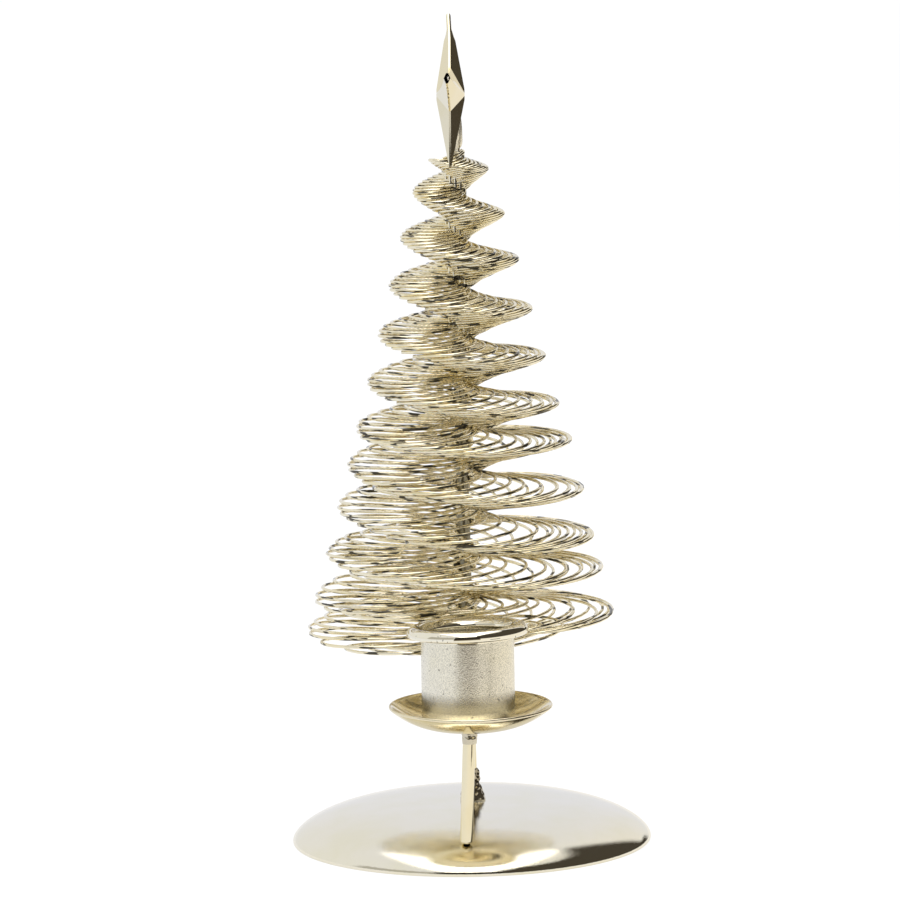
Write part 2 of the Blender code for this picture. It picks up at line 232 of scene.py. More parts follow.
# Loops that point at the cup are shortened, from a little above its lip
SHORTENED_FULL = CUP_HIGH.z + 1.2 * MM
SHORTENED_RUN = 5 * MM
SHORTENED_REACH = (AXIS.y - CUP_AXIS.y) - CUP_LIP_RADIUS - 6 * MM

# Noise of the plating and of the wire's painted dark streaks, in cells per metre, and the values between
# which each look changes
CLOUD_SCALE = 90.0
CLOUD_RANGE = (0.32, 0.62)
GLOSS_RANGE = (0.3, 0.7)
GLOSS_SHARES = (0.85, 1.2)
GRAIN_RANGE = (0.38, 0.56)
RIPPLE_SCALE = 160.0
PIT_SCALE = 850.0
PIT_RANGE = (0.68, 0.76)
# Level dark streaks on the wire: painted shade and painted dark reflections among the loops
PAINTED_STREAK_SCALE = 1350.0
PAINTED_STREAK_RANGE = (0.595, 0.63)
PAINTED_STREAK_STRETCH = (0.12, 0.12, 1.0)
# Heights below and above a polish limit between which the grain fades
POLISH_FADE = (0.4 * MM, 0.2 * MM)

# Studio
FLOOR_RADIUS = 6.0
CARD_COLUMNS = 24

# Camera, fitted to the foot's rim and the tree
CAMERA_TARGET = Vector((-4.35 * MM, AXIS.y, 110.4 * MM))
CAMERA_DISTANCE = 2.5
CAMERA_AZIMUTH = math.radians(-0.2)
CAMERA_ELEVATION = math.radians(9.58)
CAMERA_ROLL = math.radians(0.95)
CAMERA_LENS = 360.46


def held(value):
    """A value held between 0 and 1."""
    return min(max(value, 0.0), 1.0)


def add_object(name, data):
    obj = bpy.data.objects.new(name, data)
    bpy.context.scene.collection.objects.link(obj)
    return obj


def add_shape(name, shape):
    """Object from a bmesh, which is freed."""
    mesh = bpy.data.meshes.new(name)
    shape.to_mesh(mesh)
    shape.free()
    return add_object(name, mesh)


def apply_modifiers(obj):
    """Replace an object's mesh with its evaluated mesh."""
    depsgraph = bpy.context.evaluated_depsgraph_get()
    mesh = bpy.data.meshes.new_from_object(obj.evaluated_get(depsgraph))
    obj.modifiers.clear()
    obj.data = mesh
    return obj


def lathe(name, outline, centre, steps):
    """Closed turned mesh from a closed outline of (radius, height) points."""
    shape = bmesh.new()
    verts = [shape.verts.new((max(radius, 0.0), 0.0, height)) for radius, height in outline]
    edges = [shape.edges.new((a, b)) for a, b in zip(verts, verts[1:] + verts[:1])]
    bmesh.ops.spin(shape, geom=verts + edges, axis=(0, 0, 1), cent=(0, 0, 0), angle=ROUND,
                   steps=steps, use_merge=True)
    bmesh.ops.remove_doubles(shape, verts=shape.verts, dist=0.002 * MM)
    bmesh.ops.recalc_face_normals(shape, faces=shape.faces)
    obj = add_shape(name, shape)
    obj.data.transform(Matrix.Translation(centre))
    obj.data.shade_smooth()
    obj.data.set_sharp_from_angle(angle=SHARP_TURNED)
    return obj


def arc(centre, radius, start, end, count):
    angles = [start + (end - start) * i / count for i in range(1, count + 1)]
    return [(centre[0] + radius * math.cos(a), centre[1] + radius * math.sin(a)) for a in angles]


def sheet(midline, wall, edge_points):
    """Outline of a bent sheet round its midline, with a round edge of some points."""
    points = np.array(midline)
    along = np.gradient(points, axis=0)
    along[0] = (1.0, 0.0)
    along /= np.linalg.norm(along, axis=1)[:, None]
    normal = np.stack([-along[:, 1], along[:, 0]], axis=1)
    upper = points + normal * wall / 2
    lower = points - normal * wall / 2
    edge = []
    for i in range(1, edge_points + 1):
        turn = QUARTER - math.pi * i / (edge_points + 1)
        offset = normal[-1] * math.sin(turn) + along[-1] * math.cos(turn)
        edge.append(points[-1] + offset * wall / 2)
    return [tuple(p) for p in [*upper, *edge, *lower[::-1]]]


def finish_piece(obj, material, slot, *nodes):
    """Give a piece its finish, let it ride, and hide the CAD nodes it stands for."""
    obj.data.materials.clear()
    obj.data.materials.append(material)
    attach(obj, "root")
    if nodes:
        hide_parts(*nodes)


class Shader:
    """Short calls for building a node tree."""

    def __init__(self, tree):
        self.tree = tree
        self.tree.nodes.clear()

    def node(self, kind, **settings):
        made = self.tree.nodes.new(kind)
        for key, value in settings.items():
            setattr(made, key, value)
        return made

    def link(self, source, target):
        self.tree.links.new(source, target)

    def place(self, coordinates="Object"):
        return self.node("ShaderNodeTexCoord").outputs[coordinates]

    def part(self, vector, axis):
        """One of a vector's X, Y and Z."""
        made = self.node("ShaderNodeSeparateXYZ")
        self.link(vector, made.inputs[0])
        return made.outputs[axis]

    def maths(self, operation, first, second, clamp=False):
        made = self.node("ShaderNodeMath", operation=operation, use_clamp=clamp)
        for socket, value in zip(made.inputs, (first, second)):
            if isinstance(value, (int, float)):
                socket.default_value = value
            else:
                self.link(value, socket)
        return made.outputs[0]

    def ramp(self, factor, stops):
        made = self.node("ShaderNodeValToRGB")
        elements = made.color_ramp.elements
        while len(elements) < len(stops):
            elements.new(0.5)
        for element, (position, colour) in zip(elements, stops):
            element.position = position
            element.color = (*colour, 1.0)
        self.link(factor, made.inputs["Fac"])
        return made.outputs["Color"]

    def noise(self, where, scale, detail=1.0):
        made = self.node("ShaderNodeTexNoise")
        made.inputs["Scale"].default_value = scale
        made.inputs["Detail"].default_value = detail
        self.link(where, made.inputs["Vector"])
        return made.outputs["Fac"]

    def dimmed(self, colour, brightness):
        """A colour times a brightness, through the mix node's colour sockets."""
        made = self.node("ShaderNodeMix", data_type="RGBA", blend_type="MULTIPLY")
        made.inputs["Factor"].default_value = 1.0
        self.link(colour, made.inputs[6])
        self.link(brightness, made.inputs[7])
        return made.outputs[2]

    def map_range(self, value, low, high, to_low, to_high):
        made = self.node("ShaderNodeMapRange", interpolation_type="SMOOTHSTEP")
        self.link(value, made.inputs["Value"])
        for name, number in (("From Min", low), ("From Max", high), ("To Min", to_low),
                             ("To Max", to_high)):
            made.inputs[name].default_value = number
        return made.outputs["Result"]

    def glow(self, kind, strength, colour):
        """Emission or background of one strength, whose colour is a constant or a socket."""
        made = self.node(kind)
        made.inputs["Strength"].default_value = strength
        if isinstance(colour, tuple):
            made.inputs["Color"].default_value = (*colour, 1.0)
        else:
            self.link(colour, made.inputs["Color"])
        return made.outputs[0]

    def by_ray(self, ray, otherwise, then):
        """One shader for a kind of ray and another for all the rest."""
        made = self.node("ShaderNodeMixShader")
        self.link(self.node("ShaderNodeLightPath").outputs[ray], made.inputs["Fac"])
        self.link(otherwise, made.inputs[1])
        self.link(then, made.inputs[2])
        return made.outputs[0]


def new_material(name):
    """Material with an empty node tree, its shader calls and its surface socket."""
    material = bpy.data.materials.new(name)
    material.use_nodes = True
    s = Shader(material.node_tree)
    return material, s, s.node("ShaderNodeOutputMaterial").inputs["Surface"]


def painted_shade_streaks(s, where, darkest):
    """Brightness with thin level dark streaks in it: painted shade and painted dark reflections."""
    flat = s.node("ShaderNodeVectorMath", operation="MULTIPLY")
    s.link(where, flat.inputs[0])
    flat.inputs[1].default_value = PAINTED_STREAK_STRETCH
    return s.map_range(s.noise(flat.outputs[0], PAINTED_STREAK_SCALE), *PAINTED_STREAK_RANGE, 1.0, darkest)


# Painted shade and painted reflection: a brightness ramp by height
def painted_shading_by_height(s, up, painted_shades):
    low, high = painted_shades[0][0], painted_shades[-1][0]
    stops = [((height - low) / (high - low), (bright, bright, bright)) for height, bright in painted_shades]
    share = s.maths("DIVIDE", s.maths("SUBTRACT", up, low), high - low, clamp=True)
    return s.ramp(share, stops)


def plate(name, light, deep, roughness, grain=0.0, grain_size=0.35, ripple=0.0, spots=0.0,
          speckle=1.0, streaks=1.0, painted_shades=None, polish=None):
    """Electroplated metal: cloudy tint, uneven gloss, grain and slow ripples in the surface.

    grain, grain_size and ripple are in mm.
    spots is how much darker its pits are.
    speckle and streaks are how bright the darkest grains and the level dark streaks are. The streaks are
    painted shade and painted dark reflections.
    shades is a list of (height, brightness): painted shade and painted reflection by height.
    polish is (height, roughness): above that height the surface is smooth and glossy.
    """
    material, s, surface = new_material(name)
    metal = s.node("ShaderNodeBsdfPrincipled")
    metal.inputs["Metallic"].default_value = 1.0
    s.link(metal.outputs["BSDF"], surface)
    where = s.place()
    up = s.part(where, "Z")
    cloud = s.noise(where, CLOUD_SCALE, detail=3.0)
    fine = s.noise(where, 1.0 / (grain_size * MM), detail=2.0)
    matt = 1.0
    if polish:
        matt = s.map_range(up, polish[0] - POLISH_FADE[0], polish[0] + POLISH_FADE[1], 1.0, 0.0)

    tint = s.ramp(cloud, list(zip(CLOUD_RANGE, (deep, light))))
    if speckle < 1:
        grains = s.map_range(fine, *GRAIN_RANGE, speckle, 1.0)
        if polish:
            grains = s.maths("ADD", grains, s.maths("SUBTRACT", 1.0, matt), clamp=True)
        tint = s.dimmed(tint, grains)
    if streaks < 1:
        tint = s.dimmed(tint, painted_shade_streaks(s, where, streaks))
    if painted_shades:
        tint = s.dimmed(tint, painted_shading_by_height(s, up, painted_shades))
    if spots:
        pits = s.noise(where, PIT_SCALE)
        tint = s.dimmed(tint, s.map_range(pits, *PIT_RANGE, 1.0, 1.0 - spots))
    s.link(tint, metal.inputs["Base Color"])

    gloss = s.map_range(cloud, *GLOSS_RANGE, *(roughness * share for share in GLOSS_SHARES))
    if polish:
        gloss = s.maths("ADD", s.maths("MULTIPLY", gloss, matt), polish[1])
    s.link(gloss, metal.inputs["Roughness"])

    relief = s.node("ShaderNodeBump")
    relief.inputs["Distance"].default_value = 1.0
    height = s.maths("MULTIPLY", s.maths("MULTIPLY", fine, grain * MM), matt)
    if ripple:
        slow = s.maths("MULTIPLY", s.noise(where, RIPPLE_SCALE), ripple * MM)
        height = s.maths("ADD", height, slow)
    s.link(height, relief.inputs["Height"])
    s.link(relief.outputs["Normal"], metal.inputs["Normal"])
    return material


def make_materials():
    """Finishes by name. The rod has painted shade where the wires hide it, and the cup's foot a painted
    darker reflection of the pan.
    """
    champagne = (0.87, 0.785, 0.56)
    champagne_deep = (0.84, 0.745, 0.49)
    # Painted shade on the middle rod where the wire loops hide it
    painted_shade_in_tree = [(60 * MM, 1.0), (64 * MM, 0.3), (186 * MM, 0.3), (191 * MM, 1.0)]
    # Painted reflection of the pan on the cup's foot: a dark band, nearly full brightness below it
    painted_pan_reflection_on_cup = [(CUP_LOW.z + 3.2 * MM, 0.95), (CUP_LOW.z + 4.6 * MM, 0.34),
                (CUP_LOW.z + 7.0 * MM, 0.42), (CUP_LOW.z + 10.0 * MM, 1.0)]
    looks = {
        "satin_plate": dict(light=(0.90, 0.85, 0.71), deep=(0.88, 0.83, 0.65), roughness=0.05,
                            grain=0.022, grain_size=0.30),
        "bright_plate": dict(light=champagne, deep=champagne_deep, roughness=0.05, ripple=0.012),
        "stem_plate_painted_shade": dict(light=champagne, deep=champagne_deep, roughness=0.10, ripple=0.012,
                           painted_shades=painted_shade_in_tree),
        # The wire's level dark streaks are painted shade and painted dark reflections
        "wire_plate": dict(light=(0.94, 0.87, 0.68), deep=(0.91, 0.81, 0.54), roughness=0.035,
                           streaks=0.10),
        "star_plate": dict(light=champagne, deep=(0.85, 0.76, 0.51), roughness=0.05, ripple=0.004),
        "pan_plate": dict(light=(0.89, 0.80, 0.58), deep=(0.86, 0.76, 0.51), roughness=0.09,
                          grain=0.006, speckle=0.9),
        "cup_plate": dict(light=(0.93, 0.875, 0.725), deep=(0.90, 0.84, 0.66), roughness=0.18,
                          grain=0.055, grain_size=0.25, spots=0.6, speckle=0.74, painted_shades=painted_pan_reflection_on_cup,
                          polish=(CUP_HIGH.z - 3.5 * MM, 0.04)),
        "solder": dict(light=(0.93, 0.89, 0.78), deep=(0.86, 0.80, 0.64), roughness=0.42,
                       grain=0.05, spots=0.9),
        "braze": dict(light=(0.82, 0.76, 0.60), deep=(0.45, 0.39, 0.28), roughness=0.14,
                      grain=0.03, spots=0.9),
    }
    return {name: plate(name, **look) for name, look in looks.items()}


def make_dome():
    """Pressed dome: flat on top, falling over a shoulder to an upright rim."""
    rim = BASE_RADIUS - BASE_WALL / 2
    rise = BASE_TOP - BASE_WALL / 2 - BASE_RIM_BAND
    midline = []
    for i in range(BASE_RINGS):
        angle = QUARTER * (i / BASE_RINGS) ** BASE_RING_SPACING
        radius = rim * math.sin(angle) ** (2 / BASE_REACH_POWER)
        height = rise * max(math.cos(angle), 0.0) ** (2 / BASE_HEIGHT_POWER)
        midline.append((radius, BASE_RIM_BAND + height))
    midline += [(rim, BASE_RIM_BAND), (rim, BASE_RIM_BAND * 0.75), (rim, BASE_WALL / 2)]
    return lathe("dome", sheet(midline, BASE_WALL, SHEET_EDGE_POINTS), AXIS, SHEET_STEPS)


def make_pan():
    """Shallow pressed saucer whose rim curves up."""
    midline = []
    radius = PAN_RADIUS - PAN_WALL / 2
    low = PAN_LOW.z + PAN_WALL / 2
    depth = PAN_HIGH.z - PAN_WALL / 2 - low
    for i in range(PAN_RINGS + 1):
        share = (i / PAN_RINGS) ** PAN_RING_SPACING
        midline.append((radius * share, low + depth * share ** PAN_RISE_POWER))
    return lathe("pan", sheet(midline, PAN_WALL, SHEET_EDGE_POINTS), CUP_AXIS, SHEET_STEPS)


def cup_midline():
    """Middle of the cup's sheet: floor, wall, curl and a lip that drops to a hem."""
    wall = CUP_RADIUS - CUP_WALL / 2
    floor = CUP_LOW.z + CUP_WALL / 2
    crest = CUP_HIGH.z - CUP_WALL / 2 - CUP_CREST_ROOM
    points = [(wall * share, floor) for share in (0.0, 0.4, 0.8)]
    points.append((wall - CUP_CORNER, floor))
    corner = (wall - CUP_CORNER, floor + CUP_CORNER)
    points += arc(corner, CUP_CORNER, -QUARTER, 0, CUP_CORNER_POINTS)
    start = points[-1][1]
    end = crest - CUP_LIP_CURL
    for i in range(1, CUP_WALL_POINTS + 1):
        points.append((wall, start + (end - start) * i / CUP_WALL_POINTS))
    points += arc((wall + CUP_LIP_CURL, end), CUP_LIP_CURL, math.pi, QUARTER, CUP_CURL_POINTS)
    across = CUP_LIP_RADIUS - CUP_WALL / 2 - wall - CUP_LIP_CURL
    for i in range(1, CUP_LIP_POINTS + 1):
        angle = QUARTER * i / CUP_LIP_POINTS
        points.append((wall + CUP_LIP_CURL + across * math.sin(angle) ** 0.95,
                       crest - CUP_LIP_DROP * (1 - math.cos(angle) ** 0.9)))
    hem = (points[-1][0] - CUP_LIP_HEM, points[-1][1])
    return points + arc(hem, CUP_LIP_HEM, 0.0, -CUP_HEM_TURN, CUP_HEM_POINTS)


def make_cup():
    """Drawn cup whose mouth rolls over into a lip that isn't quite level."""
    obj = lathe("cup", sheet(cup_midline(), CUP_WALL, CUP_EDGE_POINTS), CUP_AXIS, SHEET_STEPS)
    for vert in obj.data.vertices:
        share = held((vert.co.z - CUP_SLOPE_START) / CUP_SLOPE_LENGTH) ** 2
        vert.co.z += CUP_LIP_SLOPES[0] * (vert.co.x - CUP_AXIS.x) * share
        vert.co.z += CUP_LIP_SLOPES[1] * (vert.co.y - CUP_AXIS.y) * share
        vert.co.x += CUP_SHIFT
    return obj


def rod_outline(bottom, top, corner):
    """Half outline of a rod with rounded ends, with narrow bands that keep its side straight."""
    upper = (ROD_RADIUS - ROD_EDGE, top - ROD_EDGE)
    lower = (ROD_RADIUS - corner, bottom + corner)
    outline = [(0.0, top), (upper[0], top)] + arc(upper, ROD_EDGE, QUARTER, 0.0, 4)
    outline += [(ROD_RADIUS, height) for height in (upper[1] - ROD_BAND, lower[1] + ROD_BAND, lower[1])]
    return outline + arc(lower, corner, 0.0, -QUARTER, 6) + [(0.0, bottom)]


def make_post():
    """Front rod, standing on the dome a little askew under the pan."""
    outline = rod_outline(POST_LOW.z - SEAT_GAP, POST_HIGH.z, POST_CORNER)
    obj = lathe("post", outline, CUP_AXIS, ROD_STEPS)
    for vert in obj.data.vertices:
        vert.co.x += POST_SHIFT - POST_LEAN * (POST_HIGH.z - vert.co.z)
    return obj


def rod_x(height):
    """X of the leaning middle rod's axis at a height."""
    return AXIS.x - TREE_LEAN * (height - BASE_TOP)


def lean(obj):
    """Lean a piece of the tree to the left with its rod."""
    for vert in obj.data.vertices:
        vert.co.x += rod_x(vert.co.z) - AXIS.x
    return obj


def make_stem():
    """Middle rod, whose upper end stands beside the star."""
    return lean(lathe("stem", rod_outline(STEM_FOOT, STEM_TOP, ROD_EDGE), AXIS, STEM_STEPS))


def star_corner(step):
    """Corner of the star in the YZ plane: even steps are tips, and step 0 is the top one."""
    radius = STAR_NOTCH_RADIUS if step % 2 else STAR_RADIUS
    turn = step * math.pi / STAR_POINTS
    return Vector((0.0, -radius * math.sin(turn), radius * math.cos(turn)))


def star_centre():
    return Vector((STAR_SEAM_X, AXIS.y, STAR_TOP - STAR_RADIUS))


def star_surface(corner, share):
    """Point on a shell, from its seam (share 0) to the pressed flat in the middle (share 1)."""
    point = corner * (1 - share)
    rise = STAR_SEAM + (STAR_HALF_THICKNESS - STAR_SEAM) * min(share * STAR_FACET_SLOPE, 1.0)
    blade = STAR_TIP_HALF * min(STAR_TIP_EDGE + share / STAR_TIP_ROUNDING, 1.0)
    rise += (blade - rise) * held((point.z - STAR_RADIUS + STAR_TIP_LENGTH) / STAR_TIP_RUN)
    drop = STAR_FLAT_DROP * max(1 - point.length / STAR_FLAT_RADIUS, 0.0)
    return point, min(rise, STAR_HALF_THICKNESS - drop)


def star_facet(shape, first, second, side):
    """One folded facet as rows of faces that narrow towards the middle of the star."""
    rows = []
    for i, share in enumerate(STAR_FACET_SHARES):
        steps = STAR_FACET_ROWS - i
        row = []
        for j in range(steps + 1):
            corner = first.lerp(second, j / steps) if steps else first
            point, rise = star_surface(corner, share)
            row.append(shape.verts.new((side * rise, point.y, point.z)))
        rows.append(row)
    for upper, lower in zip(rows, rows[1:]):
        for j in range(len(lower)):
            shape.faces.new((upper[j], upper[j + 1], lower[j]))
            if j:
                shape.faces.new((upper[j], lower[j], lower[j - 1]))
    band = [shape.verts.new((side * STAR_SEAM_GAP, vert.co.y, vert.co.z)) for vert in rows[0]]
    for j in range(STAR_FACET_ROWS):
        shape.faces.new((band[j], band[j + 1], rows[0][j + 1], rows[0][j]))


def fold_sheet(obj):
    """Give a shell its sheet's thickness and round its folds."""
    walls = obj.modifiers.new("sheet", "SOLIDIFY")
    walls.thickness = STAR_SHEET
    walls.offset = -1.0
    folds = obj.modifiers.new("folds", "BEVEL")
    folds.width = STAR_FOLD_WIDTH
    folds.segments = 3
    folds.limit_method = "ANGLE"
    folds.angle_limit = STAR_FOLD_ANGLE
    folds.harden_normals = True
    return apply_modifiers(obj)


def make_star_shell(name, side):
    """One pressed half: an upright seam band, folded facets and a flat in the middle."""
    shape = bmesh.new()
    for i in range(2 * STAR_POINTS):
        star_facet(shape, star_corner(i), star_corner((i + 1) % (2 * STAR_POINTS)), side)
    bmesh.ops.remove_doubles(shape, verts=shape.verts, dist=0.005 * MM)
    bmesh.ops.recalc_face_normals(shape, faces=shape.faces)
    highest = max(shape.faces, key=lambda face: abs(face.calc_center_median().x))
    if highest.normal.x * side < 0:
        bmesh.ops.reverse_faces(shape, faces=shape.faces)
    obj = add_shape(name, shape)
    obj.data.shade_smooth()
    obj.data.set_sharp_from_angle(angle=STAR_SHARP)
    return fold_sheet(obj)


def open_front_tip(obj):
    """Trim the front point, which leaves an open end."""
    direction = star_corner(STAR_FRONT_STEP).normalized()
    cut = direction * (STAR_RADIUS - STAR_EYE_CUT)
    shape = bmesh.new()
    shape.from_mesh(obj.data)
    everything = shape.verts[:] + shape.edges[:] + shape.faces[:]
    bmesh.ops.bisect_plane(shape, geom=everything, plane_co=cut, plane_no=direction, clear_outer=True)
    shape.to_mesh(obj.data)
    shape.free()


def bent_tips(point):
    """Bend the top tip a little to the left, and the front one to the left and up."""
    share = held((point.z - STAR_RADIUS + STAR_TIP_BEND_START) / STAR_TIP_LENGTH)
    point.x -= STAR_TIP_BEND * share ** 1.5
    share = held((-point.y - STAR_NOTCH_RADIUS) / (STAR_RADIUS - STAR_NOTCH_RADIUS))
    if point.z > STAR_FRONT_LOWEST:
        point.x += STAR_FRONT_BEND[0] * share ** 2
        point.z += STAR_FRONT_BEND[1] * share ** 2
    return point


def placed_on_star(point):
    """Place of a point of the star, with its tips bent, turned a little and set against the rod."""
    centre = star_centre() + Vector((STAR_SHIFT, 0.0, 0.0))
    return centre + Matrix.Rotation(-STAR_YAW, 3, "Z") @ bent_tips(point.copy())


def make_star():
    shells = []
    for name, side in (("star_left", -1), ("star_right", 1)):
        shell = make_star_shell(name, side)
        open_front_tip(shell)
        for vert in shell.data.vertices:
            vert.co = placed_on_star(vert.co)
        shells.append(shell)
    return shells


def make_lumpy(obj, centre, size, depth, seed):
    """Push a turned bead in and out with slow noise, away from its axis."""
    for vert in obj.data.vertices:
        away = Vector((vert.co.x - centre.x, vert.co.y - centre.y, 0.0))
        if away.length < LUMPS_FROM:
            continue
        wave = noise.noise(vert.co / size + Vector((seed, 0, 0)))
        wave += 0.5 * noise.noise(vert.co / size * 2.3 + Vector((seed, 5, 0)))
        vert.co += away.normalized() * wave * depth


def make_foot_braze():
    """Hollow fillet round the foot of the middle rod, pressed in on its left."""
    spread = FOOT_BRAZE_RADIUS - BEAD_INNER
    rise = FOOT_BRAZE_HIGH.z - FOOT_BRAZE_LOW.z
    outline = [(BEAD_INNER, FOOT_BRAZE_LOW.z), (BEAD_INNER + spread, FOOT_BRAZE_LOW.z)]
    for i in range(1, FOOT_BRAZE_ROWS + 1):
        share = i / FOOT_BRAZE_ROWS
        thick = BEAD_THIN + (spread - BEAD_THIN) * (1 - share) ** FOOT_BRAZE_HOLLOW
        outline.append((BEAD_INNER + thick, FOOT_BRAZE_LOW.z + rise * share))
    outline.append((BEAD_INNER, FOOT_BRAZE_HIGH.z))
    obj = lathe("foot_braze", outline, AXIS, ROD_STEPS)
    make_lumpy(obj, AXIS, 2.2 * MM, 0.9 * MM, 3.0)
    for vert in obj.data.vertices:
        vert.co.x += FOOT_BRAZE_PRESSED * max(AXIS.x - BEAD_INNER - vert.co.x, 0.0)
    return lean(obj)


def make_pan_braze():
    """Thin collar between the post and the underside of the pan."""
    thick = PAN_BRAZE_THICKNESS * (PAN_BRAZE_RADIUS - BEAD_INNER)
    rise = PAN_BRAZE_HIGH.z - PAN_BRAZE_LOW.z
    outline = [(BEAD_INNER, PAN_BRAZE_HIGH.z), (BEAD_INNER, PAN_BRAZE_LOW.z)]
    for i in range(PAN_BRAZE_ROWS + 1):
        share = i / PAN_BRAZE_ROWS
        belly = math.sin(math.pi * min(share * 1.15, 1.0)) * share ** 0.4
        swell = PAN_BRAZE_NECK + (1 - PAN_BRAZE_NECK) * belly
        outline.append((BEAD_INNER + thick * swell, PAN_BRAZE_LOW.z + rise * share))
    obj = lathe("pan_braze_bead", outline, CUP_AXIS, ROD_STEPS)
    make_lumpy(obj, CUP_AXIS, 1.6 * MM, 0.3 * MM, 9.0)
    for vert in obj.data.vertices:
        vert.co.x += POST_SHIFT
    return obj


def solder_drop(name, centre, size, seed):
    """Small uneven drop of solder, whose size is its three radii in mm."""
    shape = bmesh.new()
    bmesh.ops.create_icosphere(shape, subdivisions=4, radius=1.0)
    for vert in shape.verts:
        vert.co *= 1 + 0.35 * noise.noise(vert.co * 1.6 + Vector((seed, 0, 0)))
        vert.co = Vector([place * radius * MM for place, radius in zip(vert.co, size)])
    obj = add_shape(name, shape)
    obj.data.transform(Matrix.Translation(centre))
    obj.data.shade_smooth()
    return obj


def make_solder():
    """Run of solder between star and rod, and drops on the top loop and in the star's open point."""
    beside = Vector((AXIS.x, AXIS.y, STAR_TOP - STAR_RADIUS))
    seam = solder_drop("solder_seam", beside + Vector((1.0, -0.7, -9.4)) * MM, (1.45, 1.5, 6.6), 1.0)
    wire = solder_drop("solder_wire", beside + Vector((0.6, -1.3, -16.0)) * MM, (1.2, 0.9, 1.3), 7.0)
    inside = star_corner(STAR_FRONT_STEP) * (1 - (STAR_EYE_CUT + 0.3 * MM) / STAR_RADIUS)
    inside = placed_on_star(inside + Vector((0.3 * MM, 0.0, 0.0)))
    return [lean(seam), lean(wire), solder_drop("solder_point", inside, (0.25, 0.4, 0.6), 4.0)]


def bend_at(turn):
    turns, lifts = zip(*BENDS)
    return float(np.interp(turn, turns, lifts)) * MM


def tip_height(turn):
    """Height of the loops' tips on the even spiral."""
    upper = TREE_TOP - UPPER_DROP * min(max(turn, 0.0), KNEE_TURN) - FIRST_DROP * min(turn, 0.0)
    return upper - LOWER_DROP * max(turn - KNEE_TURN, 0.0)


def reach_at(height):
    heights, reaches = zip(*REACHES)
    return float(np.interp(height / MM, heights, reaches)) * MM


def clear_of_cup(point):
    """Keep the wire out of the room that the cup and its lip need."""
    if point.z > CUP_HIGH.z + CUP_ROOM_ABOVE:
        return point
    beside_lip = point.z > CUP_HIGH.z - CUP_LIP_DEPTH
    needed = CUP_ROOM + (CUP_LIP_RADIUS if beside_lip else CUP_RADIUS)
    away = Vector((point.x - CUP_AXIS.x, point.y - CUP_AXIS.y, 0.0))
    if away.length < needed:
        point = point + away.normalized() * (needed - away.length)
    return point


def shortened(reach, height, direction):
    """Loops that point at the cup stay behind it."""
    low = held(1 - (height - SHORTENED_FULL) / SHORTENED_RUN)
    facing = max(-math.sin(direction), 0.0) ** 3
    return reach - max(reach - SHORTENED_REACH, 0.0) * low * facing


def loop_plan(reach, full_reach, phase, away_from_rod, odd):
    """Place on a loop seen from above: out along its direction, and across it."""
    inner = LOOP_INNER + LOOP_STAGGER * odd * (1 - away_from_rod)
    out = (reach - inner) / 2 + (reach + inner) / 2 * math.cos(phase)
    across = (full_reach + inner) / 2 * math.sin(phase)
    past_end = max(out + inner, 0.0)
    across *= math.sqrt(past_end / (past_end + LOOP_PINCH))
    distance = math.hypot(out, across)
    if distance < inner:
        out *= inner / distance
        across *= inner / distance
    return out, across


def loop_rise(direction, looseness):
    """Slope at which a loop rises from the rod to its tip."""
    rise = (LOOP_RISE_LEFT + LOOP_RISE_RIGHT) / 2
    rise -= (LOOP_RISE_LEFT - LOOP_RISE_RIGHT) / 2 * math.cos(direction)
    return rise * (1 - LOOP_RISE_LOST * looseness)


def wander(loop, pace, row):
    """Slow swing from loop to loop, between about -1 and 1."""
    return noise.noise(Vector((loop * pace, row, 0.0)))


def tree_point(loop):
    """Point of the wire after so many loops. It passes the rod at each whole number."""
    turn = FIRST_TURN + loop / LOOPS_PER_TURN
    past_rod = loop - round(loop)
    away_from_rod = 2 * abs(past_rod)
    looseness = min(max(turn / LOOSE_TURN, LEAST_LOOSE), 1.0)
    direction = ROUND * turn + LOOSE_SWING * wander(loop, 0.45, 3.1) * looseness
    height = tip_height(turn) + bend_at(turn) + LOOSE_NOD * wander(loop, 0.4, 11.3) * looseness
    full_reach = reach_at(tip_height(turn))
    stretch = 1 + LOOSE_STRETCH * wander(loop, 0.5, 7.7) * looseness
    reach = shortened(full_reach * stretch, height, direction)
    phase = math.pi - ROUND * loop
    out, across = loop_plan(reach, full_reach, phase, away_from_rod, round(loop) % 2)
    x = out * math.cos(direction) - across * math.sin(direction)
    y = out * math.sin(direction) + across * math.cos(direction)
    z = height - loop_rise(direction, looseness) * (reach - math.hypot(x, y)) + LOOP_TILT * across
    along = past_rod * math.pi * (reach + LOOP_INNER)
    z += WRAP_DROP * math.tanh(along / WRAP_LENGTH) * (1 - away_from_rod) ** 2
    shift = LOW_SHIFT * held((LOW_SHIFT_TOP - z) / LOW_SHIFT_RUN)
    x += rod_x(z) - shift * away_from_rod
    return clear_of_cup(Vector((x, AXIS.y + y, z)))


def tree_points():
    points = []
    loops = round((LAST_TURN - FIRST_TURN) * LOOPS_PER_TURN)
    for i in range(1, loops * LOOP_POINTS):
        even = i / LOOP_POINTS
        points.append(tree_point(even - LOOP_CROWDING * math.sin(ROUND * even) / ROUND))
    return points


def end_on_rod(point):
    rod = Vector((rod_x(point.z), AXIS.y, point.z))
    return rod + (point - rod).normalized() * (ROD_RADIUS + 0.05 * MM)


def make_tree():
    """The whole tree as one wire."""
    points = tree_points()
    points = [end_on_rod(points[0])] + points + [end_on_rod(points[-1])]
    curve = bpy.data.curves.new("tree", "CURVE")
    curve.dimensions = "3D"
    curve.bevel_depth = WIRE_RADIUS
    curve.bevel_resolution = 3
    curve.use_fill_caps = True
    spline = curve.splines.new("POLY")
    spline.points.add(len(points) - 1)
    for target, point in zip(spline.points, points):
        target.co = (*point, 1.0)
    spline.use_smooth = True
    return add_object("tree", curve)


